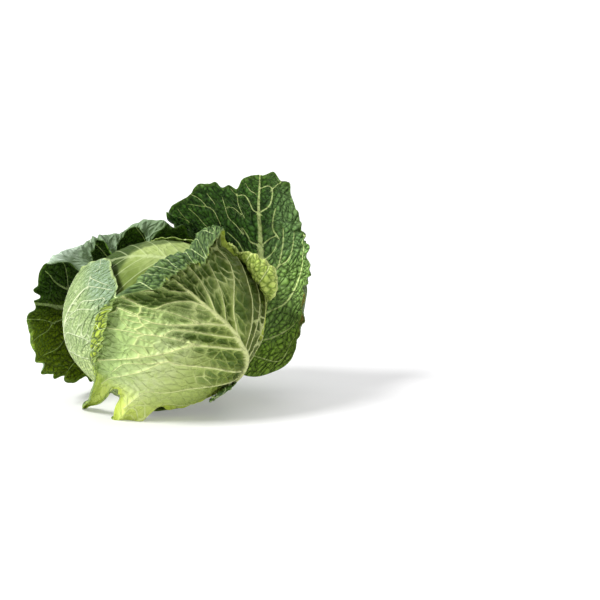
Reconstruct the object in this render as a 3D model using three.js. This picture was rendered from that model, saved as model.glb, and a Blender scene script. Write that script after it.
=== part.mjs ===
import * as THREE from 'three';

// Savoy cabbage resting on its side, its leaves wrapped around a firm heart.
// Millimetres, +Z up, the viewer stands on the -Y side. The shapes are worked
// out around the middle of the heart and moved onto the table at the end.

const heartSize = [78.5, 76, 67];        // half width, half depth, half height of the heart
const tableLevel = -80.5;                // table below the middle of the heart
const stemDirection = unit([0.70, 0.20, -0.69]);
const stemRadius = 13;
const stemEnd = 87.5;                    // distance of the cut end from the middle of the heart
const baseRadius = 16.5;                 // leaf bases start this far from the stem's axis
const leafThickness = 1.4;
const outward = 1;
const inward = -1;

// Every leaf is a closed shell laid out on its own flat chart. Chart angles
// run from 0 at the leaf's tip round to 180 at its base on the stem.
//   gap      clearance above the heart, `tight` the share of it kept at the stem
//   belly    how much further the layer sags straight below the heart
//   faces    [angle from the stem, angle round the stem] of the blade's middle
//   bowl     centre and half sizes of a freer bowl, `looks` the way its middle faces
//   outline  [chart angle, reach] pairs of the blade, without the curled margin
//   curl     [chart angle, length] and [chart angle, bending radius] pairs, full turn, side
//   fold     chart line x = at + slope * y past which the blade bends inward
//   droops   [angle, half width, taper, start, shift] of hanging margin lobes
//   frill    [height, waves] of the margin
const leaves = {
  crown_leaf: {
    gap: 3.2, tight: 0.6, faces: [140, -60], steps: 21, frill: [0, 0], colour: 0xc5d59f,
    outline: [[0, 80], [45, 84], [90, 90], [135, 90], [225, 90], [270, 90], [315, 84]],
  },
  rear_wrapper_leaf: {
    gap: 7, tight: 0.6, faces: [95, -160], steps: 15, frill: [0.5, 9], colour: 0xb4c58a,
    outline: [[0, 42], [45, 60], [90, 80], [135, 70], [225, 70], [270, 80], [315, 60]],
  },
  left_wrapper_leaf: {
    gap: 11, tight: 0.6, belly: 5.5, faces: [108, 100], steps: 23, frill: [0.6, 9],
    colour: 0xa9bf9c,
    outline: [[0, 88], [6, 110], [12, 122], [20, 126], [34, 129], [40, 128], [60, 105], [90, 95],
      [135, 85], [225, 75], [270, 74], [315, 74], [340, 78]],
  },
  front_wrapper_leaf: {
    gap: 15.2, tight: 0.75, faces: [85, -34], steps: 31, frill: [0.8, 11], colour: 0xb6c883,
    outline: [[0, 59], [17, 54], [27, 51], [36, 52], [47, 60], [59, 73], [75, 90], [90, 98],
      [120, 94], [148, 80], [163, 88], [210, 98], [235, 116], [246, 122], [253, 134],
      [259, 150], [264, 138], [269, 127], [277, 123], [281, 152], [285, 126], [292, 120],
      [302, 112], [313, 105], [324, 97], [331, 86], [339, 68], [349, 63]],
    curl: {
      length: [[0, 36], [10, 37], [19, 32], [30, 35], [44, 42], [59, 42], [70, 33], [82, 12],
        [100, 0], [180, 0], [272, 0], [283, 6], [292, 16], [302, 15], [313, 14], [324, 12],
        [331, 12], [336, 26], [341, 38], [349, 37]],
      radius: [[0, 6.5], [30, 6.5], [60, 8], [90, 6], [180, 4], [270, 3], [300, 3], [330, 3.5],
        [337, 6]],
      turn: 170,
      side: outward,
    },
    droops: [[258, 8, 8, 95, [-6, -6, -20]], [281, 3, 5, 112, [-8, 28, -30]],
      [42, 16, 14, 54, [-2, -6, 1]]],
  },
  right_wrapper_leaf: {
    gap: 19.4, tight: 0.4, faces: [68, -118], steps: 17, frill: [1, 9], colour: 0x8ca23e,
    outline: [[0, 36], [45, 44], [90, 50], [135, 46], [210, 48], [230, 46], [258, 62],
      [287, 60], [310, 44], [330, 38]],
    curl: {
      length: [[0, 0], [120, 0], [235, 0], [252, 16], [268, 28], [284, 20], [300, 4], [315, 0]],
      radius: [[0, 8], [180, 8]],
      turn: 150,
      side: outward,
    },
  },
  back_left_leaf: {
    gap: 24, tight: 0.42, bowl: [[-22, -5, 0], [100, 108, 95]], looks: [-0.3, 0.93, 0.2],
    steps: 23, frill: [2, 9], colour: 0x2f4d1c,
    outline: [[6, 104], [18, 114], [34, 106], [47, 128], [55, 150], [65, 156], [76, 136],
      [89, 125], [120, 100], [150, 90], [210, 88], [240, 88], [266, 100], [275, 92], [288, 82],
      [296, 66], [305, 54], [325, 57], [336, 59], [350, 68], [358, 84]],
    curl: {
      length: [[268, 3], [277, 12], [284, 22], [291, 8], [300, 10], [310, 18], [318, 34],
        [324, 32], [330, 18], [338, 22], [345, 41], [351, 38], [357, 24], [3, 10], [10, 0],
        [40, 0], [120, 0], [240, 0]],
      radius: [[0, 5], [180, 5], [270, 3], [290, 3], [310, 4]],
      turn: 108,
      side: inward,
    },
  },
  back_right_leaf: {
    gap: 33, tight: 0.42, bowl: [[70, -50, 32], [131, 128, 122]], looks: [0.14, 1, 0],
    steps: 23, frill: [1.5, 9], colour: 0x3b5c22,
    outline: [[354, 107], [2, 117], [9, 111], [14, 109], [18, 106], [23, 96], [27, 97],
      [34, 108], [43, 112], [50, 112], [57, 114], [65, 112], [75, 104], [90, 88], [120, 76],
      [150, 84], [170, 98], [192, 110], [204, 105], [227, 94], [256, 84], [272, 70],
      [284, 64], [296, 62], [309, 60], [322, 58], [333, 66], [343, 84], [349, 104]],
    fold: { at: -31, slope: 0.13, radius: 22, turn: 72 },
  },
  under_leaf: {
    gap: 19.4, tight: 0.75, faces: [37, 8], steps: 9, frill: [0.8, 9], colour: 0x3a4a1e,
    outline: [[0, 11], [45, 13], [90, 15], [135, 16], [225, 14], [270, 11], [315, 10]],
  },
};

function unit(v) {
  const length = Math.hypot(...v);
  return v.map((c) => c / length);
}

function dot(a, b) {
  return a[0] * b[0] + a[1] * b[1] + a[2] * b[2];
}

function cross(a, b) {
  return [a[1] * b[2] - a[2] * b[1], a[2] * b[0] - a[0] * b[2], a[0] * b[1] - a[1] * b[0]];
}

function sum(...terms) {
  const total = [0, 0, 0];
  for (const [factor, v] of terms) {
    for (let i = 0; i < 3; i += 1) total[i] += factor * v[i];
  }
  return total;
}

function radians(degrees) {
  return degrees * Math.PI / 180;
}

function easeInOut(x) {
  const t = Math.min(Math.max(x, 0), 1);
  return t * t * (3 - 2 * t);
}

// Smooth closed curve through [angle, value] pairs.
function aroundLeaf(pairs, angle) {
  const sorted = [...pairs].sort((p, q) => p[0] - q[0]);
  const ring = [-360, 0, 360].flatMap((turn) => sorted.map(([a, v]) => [a + turn, v]));
  const slope = (k) => (ring[k + 1][1] - ring[k - 1][1]) / (ring[k + 1][0] - ring[k - 1][0]);
  const wrapped = ((angle % 360) + 360) % 360;
  let k = 1;
  while (ring[k + 1][0] <= wrapped) k += 1;
  const span = ring[k + 1][0] - ring[k][0];
  const t = (wrapped - ring[k][0]) / span;
  return (2 * t ** 3 - 3 * t ** 2 + 1) * ring[k][1] + (t ** 3 - 2 * t ** 2 + t) * span * slope(k)
    + (3 * t ** 2 - 2 * t ** 3) * ring[k + 1][1] + (t ** 3 - t ** 2) * span * slope(k + 1);
}

// One inside a range of chart angles, zero outside it, easing over the taper.
function angleWindow(angle, middle, half, taper) {
  const away = Math.abs((((angle - middle + 180) % 360) + 360) % 360 - 180);
  return easeInOut((half - away) / taper + 0.5);
}

function ellipsoidRadius(direction, size) {
  return 1 / Math.hypot(direction[0] / size[0], direction[1] / size[1], direction[2] / size[2]);
}

// Distance of a leaf layer from the middle of the heart; layers close up at the stem.
function layerRadius(direction, leaf) {
  const fromStem = Math.acos(Math.min(1, Math.max(-1, dot(direction, stemDirection))));
  const share = leaf.tight + (1 - leaf.tight) * easeInOut((fromStem * 180 / Math.PI - 12) / 45);
  const fromDown = Math.acos(Math.min(1, Math.max(-1, -direction[2]))) * 180 / Math.PI;
  const sag = (leaf.belly ?? 0) * easeInOut((36 - fromDown) / 20);
  return ellipsoidRadius(direction, heartSize) + leaf.gap * share + sag;
}

// Axes of a leaf's chart: middle direction, up (away from the stem) and right.
function leafChart(leaf) {
  const front = unit(sum([1, [0, -1, 0]], [stemDirection[1], stemDirection]));
  const side = cross(stemDirection, front);
  const chart = { ...leaf };
  if (leaf.bowl) {
    [chart.centre, chart.size] = leaf.bowl;
    chart.middle = unit(leaf.looks);
    const onStem = ellipsoidRadius(stemDirection, heartSize) + leaf.gap * leaf.tight;
    chart.anchor = unit(sum([onStem, stemDirection], [-1, chart.centre]));
    chart.scale = ellipsoidRadius(chart.middle, chart.size);
  } else {
    const [fromStem, round] = leaf.faces.map(radians);
    chart.centre = [0, 0, 0];
    chart.middle = sum([Math.cos(fromStem), stemDirection],
      [Math.sin(fromStem) * Math.cos(round), front], [Math.sin(fromStem) * Math.sin(round), side]);
    chart.anchor = stemDirection;
    chart.scale = 74 + leaf.gap;
  }
  const anchorAlong = dot(chart.anchor, chart.middle);
  chart.up = unit(sum([-1, chart.anchor], [anchorAlong, chart.middle]));
  chart.right = cross(chart.up, chart.middle);
  chart.reach = [...leaf.outline, [180, Math.acos(anchorAlong) * chart.scale - baseRadius]];
  return chart;
}

// Point of the uncurled leaf at chart position (x, y).
function blade(chart, x, y) {
  const reach = Math.hypot(x, y) + 1e-9;
  const angle = reach / chart.scale;
  const direction = sum([Math.cos(angle), chart.middle],
    [Math.sin(angle) / reach * x, chart.right], [Math.sin(angle) / reach * y, chart.up]);
  if (!chart.bowl) return sum([layerRadius(direction, chart), direction]);
  const free = sum([1, chart.centre], [ellipsoidRadius(direction, chart.size), direction]);
  const outDirection = unit(free);
  const lowest = layerRadius(outDirection, chart);
  const above = Math.hypot(...free) - lowest;
  return sum([lowest + (above + Math.sqrt(above ** 2 + 36)) / 2, outDirection]);
}

// Blade point with its tangent along (tx, ty), the tangent across and the outward normal.
function bladeFrame(chart, x, y, tx, ty) {
  const step = 0.5;
  const point = blade(chart, x, y);
  const along = unit(sum([1, blade(chart, x + step * tx, y + step * ty)],
    [-1, blade(chart, x - step * tx, y - step * ty)]));
  const across = unit(sum([1, blade(chart, x - step * ty, y + step * tx)],
    [-1, blade(chart, x + step * ty, y - step * tx)]));
  let normal = unit(cross(across, along));
  if (dot(normal, sum([1, point], [-1, chart.centre])) < 0) normal = sum([-1, normal]);
  return { point, along, across, normal };
}

// Leaves the surface on a circle of the given radius, then runs straight on.
function rollOff(frame, over, radius, turn, side) {
  const angle = Math.min(over / radius, radians(turn));
  const rest = over - angle * radius;
  const forward = radius * Math.sin(angle) + rest * Math.cos(angle);
  const sideways = side * (radius * (1 - Math.cos(angle)) + rest * Math.sin(angle));
  return {
    point: sum([1, frame.point], [forward, frame.along], [sideways, frame.normal]),
    along: sum([Math.cos(angle), frame.along], [side * Math.sin(angle), frame.normal]),
    normal: sum([Math.cos(angle), frame.normal], [-side * Math.sin(angle), frame.along]),
  };
}

// Middle surface of a leaf at a chart angle and a share (0 to 1) of the way to its margin.
function leafPoint(chart, angle, share) {
  const crest = aroundLeaf(chart.reach, angle);
  const curlLength = chart.curl ? Math.max(aroundLeaf(chart.curl.length, angle), 0) : 0;
  const margin = crest + curlLength;
  const reach = Math.max(share * margin, 1e-6);
  const flat = Math.min(reach, crest);
  const [sine, cosine] = [Math.sin(radians(angle)), Math.cos(radians(angle))];
  const [x, y] = [flat * sine, flat * cosine];
  let frame = bladeFrame(chart, x, y, sine, cosine);
  if (chart.fold) {
    const { at, slope, radius, turn } = chart.fold;
    const foldLine = at + slope * y;
    if (x < foldLine) {
      const start = bladeFrame(chart, foldLine, y, -1, 0);
      const upward = sum([Math.sign(dot(start.across, chart.up)), start.across]);
      frame = rollOff(start, foldLine - x, radius, turn, inward);
      frame.along = unit(sum([-sine, frame.along], [cosine, upward]));
    }
  }
  if (chart.curl) {
    const { turn, side } = chart.curl;
    const radius = aroundLeaf(chart.curl.radius, angle);
    frame = rollOff(frame, Math.max(reach - crest, 0), radius, turn, side);
  }
  let point = frame.point;
  for (const [middle, half, taper, start, shift] of chart.droops ?? []) {
    const droop = angleWindow(angle, middle, half, taper)
      * easeInOut((reach - start) / Math.max(margin - start, 1));
    point = sum([1, point], [droop, shift]);
  }
  const [height, waves] = chart.frill;
  const edge = (reach / margin) ** 5 * (1 - angleWindow(angle, 180, 45, 40));
  const turn = radians(angle);
  const wave = Math.sin(waves * turn + 1) + 0.6 * Math.sin((waves + 6) * turn + 2.5)
    + 0.4 * Math.sin((2 * waves + 5) * turn + 4);
  return sum([1, point], [height * edge * wave, frame.normal]);
}

// Closed shell of even thickness built on a square grid squeezed into a disc.
function leafGeometry(leaf) {
  const chart = leafChart(leaf);
  const n = leaf.steps;
  const middle = [];
  for (let i = 0; i < n; i += 1) {
    for (let j = 0; j < n; j += 1) {
      const [u, v] = [2 * i / (n - 1) - 1, 2 * j / (n - 1) - 1];
      const [x, y] = [u * Math.sqrt(1 - v * v / 2), v * Math.sqrt(1 - u * u / 2)];
      middle.push(leafPoint(chart, Math.atan2(x, y) * 180 / Math.PI, Math.min(Math.hypot(x, y), 1)));
    }
  }
  const at = (i, j) => middle[Math.min(Math.max(i, 0), n - 1) * n + Math.min(Math.max(j, 0), n - 1)];
  const normalAt = (i, j) => unit(cross(sum([1, at(i + 1, j)], [-1, at(i - 1, j)]),
    sum([1, at(i, j + 1)], [-1, at(i, j - 1)])));
  const centre = (n - 1) / 2;
  const sign = Math.sign(dot(normalAt(centre, centre), sum([1, at(centre, centre)], [-1, chart.centre])));
  const outer = [];
  const inner = [];
  for (let i = 0; i < n; i += 1) {
    for (let j = 0; j < n; j += 1) {
      const normal = normalAt(i, j);
      const top = sum([1, at(i, j)], [sign * leafThickness / 2, normal]);
      const bottom = sum([1, at(i, j)], [-sign * leafThickness / 2, normal]);
      top[2] = Math.max(top[2], tableLevel);
      bottom[2] = Math.max(bottom[2], tableLevel + leafThickness);
      outer.push(top);
      inner.push(bottom);
    }
  }
  const faces = [];
  const quad = (a, b, c, d) => (sign > 0 ? faces.push(a, b, c, a, c, d) : faces.push(a, c, b, a, d, c));
  for (let i = 0; i < n - 1; i += 1) {
    for (let j = 0; j < n - 1; j += 1) {
      const [a, b, c, d] = [i * n + j, (i + 1) * n + j, (i + 1) * n + j + 1, i * n + j + 1];
      quad(a, b, c, d);
      quad(a + n * n, d + n * n, c + n * n, b + n * n);
    }
  }
  const rim = [];
  for (let k = 0; k < n - 1; k += 1) rim.push(k * n);
  for (let k = 0; k < n - 1; k += 1) rim.push((n - 1) * n + k);
  for (let k = n - 1; k > 0; k -= 1) rim.push(k * n + n - 1);
  for (let k = n - 1; k > 0; k -= 1) rim.push(k);
  rim.forEach((a, k) => {
    const b = rim[(k + 1) % rim.length];
    quad(a, a + n * n, b + n * n, b);
  });
  return meshGeometry([...outer, ...inner], faces);
}

function heartGeometry(rows, columns) {
  const points = [[0, 0, heartSize[2]], [0, 0, -heartSize[2]]];
  const faces = [];
  const ring = (row, column) => 2 + (row - 1) * columns + (column % columns);
  for (let row = 1; row < rows; row += 1) {
    for (let column = 0; column < columns; column += 1) {
      const [down, round] = [Math.PI * row / rows, 2 * Math.PI * column / columns];
      points.push([heartSize[0] * Math.sin(down) * Math.cos(round),
        heartSize[1] * Math.sin(down) * Math.sin(round), heartSize[2] * Math.cos(down)]);
    }
  }
  for (let column = 0; column < columns; column += 1) {
    faces.push(0, ring(1, column), ring(1, column + 1));
    faces.push(1, ring(rows - 1, column + 1), ring(rows - 1, column));
    for (let row = 1; row < rows - 1; row += 1) {
      const [a, b] = [ring(row, column), ring(row, column + 1)];
      const [c, d] = [ring(row + 1, column), ring(row + 1, column + 1)];
      faces.push(a, c, d, a, d, b);
    }
  }
  return meshGeometry(points, faces);
}

// Short stump around the stem's axis: its root follows the heart, its cut is slightly domed.
function stemGeometry(columns) {
  const gap = 0.6;
  const onHeart = (v) => sum([ellipsoidRadius(unit(v), heartSize) + gap, unit(v)]);
  const profile = [[stemRadius, 72], [stemRadius * 0.96, 80], [stemRadius * 0.9, stemEnd - 1.6],
    [stemRadius * 0.78, stemEnd - 0.4]];
  const side = unit(cross(stemDirection, [0, 1, 0]));
  const other = cross(stemDirection, side);
  const points = [onHeart(stemDirection), sum([stemEnd, stemDirection])];
  const faces = [];
  const ring = (row, column) => 2 + row * columns + (column % columns);
  profile.forEach(([radius, height], row) => {
    for (let column = 0; column < columns; column += 1) {
      const round = 2 * Math.PI * column / columns;
      const point = sum([height, stemDirection], [radius * Math.cos(round), side],
        [radius * Math.sin(round), other]);
      points.push(row === 0 ? onHeart(point) : point);
    }
  });
  const last = profile.length - 1;
  for (let column = 0; column < columns; column += 1) {
    faces.push(0, ring(0, column + 1), ring(0, column));
    faces.push(1, ring(last, column), ring(last, column + 1));
    for (let row = 0; row < last; row += 1) {
      const [a, b] = [ring(row, column), ring(row, column + 1)];
      const [c, d] = [ring(row + 1, column), ring(row + 1, column + 1)];
      faces.push(a, b, d, a, d, c);
    }
  }
  return meshGeometry(points, faces);
}

function meshGeometry(points, faces) {
  const geometry = new THREE.BufferGeometry();
  geometry.setAttribute('position', new THREE.Float32BufferAttribute(points.flat(), 3));
  geometry.setIndex(faces);
  geometry.computeVertexNormals();
  return geometry;
}

function addPiece(group, name, geometry, colour) {
  const material = new THREE.MeshStandardMaterial({ color: colour, roughness: 0.55 });
  material.name = name;
  const piece = new THREE.Mesh(geometry, material);
  piece.name = name;
  group.add(piece);
}

const cabbage = new THREE.Group();
cabbage.name = 'savoy_cabbage';
addPiece(cabbage, 'heart', heartGeometry(20, 28), 0xc9d6a0);
addPiece(cabbage, 'stem', stemGeometry(24), 0xd6d9b0);
for (const [name, leaf] of Object.entries(leaves)) {
  addPiece(cabbage, name, leafGeometry(leaf), leaf.colour);
}

// Table contact at z = 0, middle of the footprint at x = y = 0.
const bounds = new THREE.Box3().setFromObject(cabbage);
const middle = bounds.getCenter(new THREE.Vector3());
for (const piece of cabbage.children) {
  piece.geometry.translate(-middle.x, -middle.y, -bounds.min.z);
}

export default cabbage;
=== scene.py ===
import math
import bpy
import numpy as np
from mathutils import Matrix, Vector


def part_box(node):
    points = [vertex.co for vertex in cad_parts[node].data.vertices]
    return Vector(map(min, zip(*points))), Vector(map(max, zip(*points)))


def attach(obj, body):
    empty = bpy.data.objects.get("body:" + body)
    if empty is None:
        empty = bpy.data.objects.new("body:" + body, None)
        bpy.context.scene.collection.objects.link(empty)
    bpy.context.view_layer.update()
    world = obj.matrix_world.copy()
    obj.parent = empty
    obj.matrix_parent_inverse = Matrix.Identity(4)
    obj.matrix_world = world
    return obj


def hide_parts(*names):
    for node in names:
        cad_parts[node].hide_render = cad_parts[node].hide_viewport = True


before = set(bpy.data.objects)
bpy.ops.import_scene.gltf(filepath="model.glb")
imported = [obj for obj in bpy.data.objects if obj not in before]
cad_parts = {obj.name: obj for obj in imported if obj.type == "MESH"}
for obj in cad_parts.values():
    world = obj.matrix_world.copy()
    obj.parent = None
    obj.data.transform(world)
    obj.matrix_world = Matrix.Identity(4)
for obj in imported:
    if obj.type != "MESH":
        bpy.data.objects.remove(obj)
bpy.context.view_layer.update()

# ---------------------------------------------------------------- driving dimensions
# Millimetres around the middle of the heart; the viewer stands on the -Y side.

heart_low, heart_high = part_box("heart")
HEART_MIDDLE = (heart_low + heart_high) / 2       # in metres, as the frame gives it
HEART_SIZE = np.array([78.5, 76.0, 67.0])         # half sizes of the heart's ellipsoid
TABLE = -HEART_MIDDLE.z * 1000                    # height of the table's top
STEM_RADIUS = 13.0
STEM_END = 87.5                                   # the cut, measured along the stem's axis
BASE_RADIUS = 16.5                                # how far from that axis a leaf's base ends
OUTWARD, INWARD = 1, -1


def unit(v):
    """Vectors scaled to length one along the last axis."""
    v = np.asarray(v, float)
    return v / np.linalg.norm(v, axis=-1, keepdims=True)


STEM = unit([0.70, 0.20, -0.69])
FRONT = unit(np.array([0, -1, 0]) + STEM[1] * STEM)
SIDE = np.cross(STEM, FRONT)

# Every leaf lies on a flat chart. Chart angles run from 0 at the tip to 180 at the base.
#   gap, tight   clearance above the heart and the share of it kept at the stem
#   belly        extra sag straight below the heart
#   faces        angle from the stem and angle round it of the blade's middle
#   bowl, looks  centre and half sizes of a freer bowl, and the way its middle faces
#   grid         how many mesh points lie across the leaf
#   outline      (chart angle, reach) points of the blade, without its curled margin
#   curl         (chart angle, length) and (chart angle, bending radius) points of the margin's
#                roll, its full turn and the side that it rolls to
#   fold         chart line x = at + slope * y past which the blade bends inward, radius, turn
#   droops       angle, half width, taper, start and shift of hanging lobes
#   frill        height and waves of the margin's slow wave
#   ruffle       height, length of one wave and depth of the margin's small ruffles
#   lobes        depth of the margin's rounded lobes and of its small teeth
#   ribs         at, slant and curve of the midrib's line x = at + slant y + curve min(y, 0)^2,
#                its half width at base and tip, and where it ends
#   rows         first row of blisters, its width, (lean, fan) left and right of the midrib,
#                bow, and how many blisters lie across a row
#   cell, fine   length of a large blister along its row, and size of a small one
#   puff         height of large blisters, of small ones, and of small ones on the curl
#   ridge        height of the raised veins
#   deep         chart x from which and to which the large blisters grow, and shares there
#   ladder       spacing of short veins that run across the curled margin
LEAVES = {
    "crown_leaf": dict(
        gap=3.2, tight=0.6, faces=(140, -60), grid=150, frill=(0, 0), ruffle=(0.4, 20, 6),
        lobes=(0.5, 0.2),
        outline=[(0, 80), (45, 84), (90, 90), (135, 90), (225, 90), (270, 90), (315, 84)],
        ribs=(0, 0, 0, 4.0, 0.8, 60), rows=(-130, 19, (0.9, 0.004), (0.9, 0.004), 0, 2), cell=22,
        fine=9, puff=(0.25, 0.1, 0.2), ridge=0.3),
    "rear_wrapper_leaf": dict(
        gap=7, tight=0.6, faces=(95, -160), grid=110, frill=(0.5, 9), ruffle=(0.6, 20, 6),
        lobes=(1.2, 0.5),
        outline=[(0, 42), (45, 60), (90, 80), (135, 70), (225, 70), (270, 80), (315, 60)],
        ribs=(0, 0, 0, 4.5, 0.8, 30), rows=(-100, 17, (0.9, 0.01), (0.9, 0.01), 0, 2), cell=13,
        fine=6, puff=(1.6, 0.4, 0.6), ridge=0.6),
    "left_wrapper_leaf": dict(
        gap=11, tight=0.6, belly=5.5, faces=(108, 100), grid=170, frill=(0.6, 9),
        ruffle=(0.8, 14, 6), lobes=(1.6, 0.8),
        outline=[(0, 102), (6, 117), (12, 125), (20, 127), (34, 129), (40, 128), (60, 105),
                 (90, 95), (135, 85), (225, 75), (270, 74), (315, 74), (340, 80), (352, 90)],
        ribs=(0, 0, 0, 4.5, 0.7, 90), rows=(-110, 19, (0.9, 0.01), (0.9, 0.01), 0, 2), cell=11,
        fine=4.5, puff=(1.0, 0.6, 0.9), ridge=0.6),
    "front_wrapper_leaf": dict(
        gap=15.2, tight=0.75, faces=(85, -34), grid=223, frill=(0.8, 11), ruffle=(1.6, 13, 8),
        lobes=(2.0, 1.2),
        outline=[(0, 59), (17, 54), (27, 51), (36, 52), (47, 60), (59, 73), (75, 90), (90, 98),
                 (120, 94), (148, 80), (163, 88), (210, 98), (235, 116), (246, 122), (253, 134),
                 (259, 150), (264, 138), (269, 127), (277, 123), (281, 152), (285, 126), (292, 120),
                 (302, 112), (313, 105), (324, 97), (331, 86), (339, 68), (349, 63)],
        curl=dict(length=[(0, 36), (10, 37), (19, 32), (30, 35), (44, 42), (59, 42), (70, 33),
                          (82, 12), (100, 0), (180, 0), (272, 0), (283, 6), (291, 9), (297, 12),
                          (304, 19), (314, 20), (324, 17), (331, 13), (336, 26), (341, 38),
                          (349, 37)],
                  radius=[(0, 6.5), (30, 6.5), (60, 8), (90, 6), (180, 4), (270, 2.4), (300, 2.4),
                          (328, 2.8), (337, 6)], turn=170, side=OUTWARD),
        droops=[(258, 8, 8, 95, (-6, -6, -20)), (281, 3, 5, 112, (-8, 28, -30)),
                (42, 16, 14, 54, (-2, -6, 1))],
        ladder=10, ribs=(1.5, 0.07, -0.0005, 4.6, 0.6, 62),
        rows=(-91, 16, (1.5, 0.008), (1.25, 0.021), 0, 2), cell=15, fine=7, puff=(4.6, 1.3, 1.5),
        ridge=1.2, deep=(-66, -20, 0.22, 1.0)),
    "right_wrapper_leaf": dict(
        gap=19.4, tight=0.4, faces=(68, -118), grid=130, frill=(1, 9), ruffle=(1.0, 13, 7),
        lobes=(1.6, 0.8),
        outline=[(0, 36), (45, 44), (90, 50), (135, 46), (210, 48), (230, 46), (258, 62), (287, 60),
                 (310, 44), (330, 38)],
        curl=dict(length=[(0, 0), (120, 0), (235, 0), (252, 16), (268, 28), (284, 20), (300, 4),
                          (315, 0)],
                  radius=[(0, 8)], turn=150, side=OUTWARD),
        ribs=(0, 0, 0, 3.2, 0.6, 25), rows=(-70, 15, (0.9, 0.01), (0.9, 0.01), 0, 2), cell=9,
        fine=5, puff=(1.4, 0.9, 1.2), ridge=0.4),
    "back_left_leaf": dict(
        gap=24, tight=0.42, bowl=((-22, -5, 0), (100, 108, 95)), looks=(-0.3, 0.93, 0.2), grid=190,
        frill=(2, 9), ruffle=(2.6, 19, 12), lobes=(3.0, 0.9),
        outline=[(6, 104), (18, 114), (34, 106), (47, 128), (55, 150), (65, 156), (76, 136),
                 (89, 125), (120, 100), (150, 90), (210, 88), (240, 88), (266, 100), (275, 92),
                 (288, 82), (296, 66), (305, 54), (325, 57), (336, 59), (350, 68), (358, 84)],
        curl=dict(length=[(268, 3), (277, 12), (284, 22), (291, 8), (300, 10), (309, 16), (315, 32),
                          (320, 33), (324, 14), (328, 9), (333, 12), (338, 16), (342, 20),
                          (346, 27), (350, 40), (354, 35), (358, 22), (3, 10), (10, 0), (40, 0),
                          (120, 0), (240, 0)],
                  radius=[(0, 5), (180, 5), (270, 3), (290, 3), (310, 4)], turn=108, side=INWARD),
        ribs=(43, 0.257, 0, 5.0, 0.8, 95), rows=(-150, 18, (1.1, 0.004), (1.1, 0.004), 0.006, 2),
        cell=13, fine=6, puff=(1.4, 0.8, 0.35), ridge=0.6),
    "back_right_leaf": dict(
        gap=33, tight=0.42, bowl=((70, -50, 32), (131, 128, 122)), looks=(0.14, 1, 0), grid=215,
        frill=(1.5, 9), ruffle=(2.0, 20, 10), lobes=(3.2, 0.5),
        outline=[(354, 107), (2, 117), (9, 111), (14, 109), (18, 106), (23, 96), (27, 97),
                 (34, 108), (43, 112), (50, 112), (57, 114), (65, 112), (75, 104), (90, 88),
                 (120, 76), (150, 84), (170, 98), (192, 110), (204, 105), (227, 94), (256, 84),
                 (272, 70), (284, 64), (296, 62), (309, 60), (322, 58), (333, 66), (343, 84),
                 (349, 104)],
        fold=dict(at=-31, slope=0.13, radius=22, turn=72), ribs=(1, 0.14, 0.0012, 4.4, 0.8, 98),
        rows=(-100, 17.5, (0.8, 0), (0.8, 0), 0.02, 2), cell=12, fine=6, puff=(1.5, 1.0, 1.1),
        ridge=0.6),
    "under_leaf": dict(
        gap=19.4, tight=0.75, faces=(37, 8), grid=70, frill=(0.8, 9), ruffle=(0.8, 9, 4),
        lobes=(1.6, 1.0),
        outline=[(0, 11), (45, 13), (90, 15), (135, 16), (225, 14), (270, 11), (315, 10)],
        ribs=(0, 0, 0, 2.5, 0.5, 12), rows=(-40, 12, (0.9, 0), (0.9, 0), 0, 2), cell=8, fine=5,
        puff=(1.0, 0.5, 0.8), ridge=0.3),
}

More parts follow.
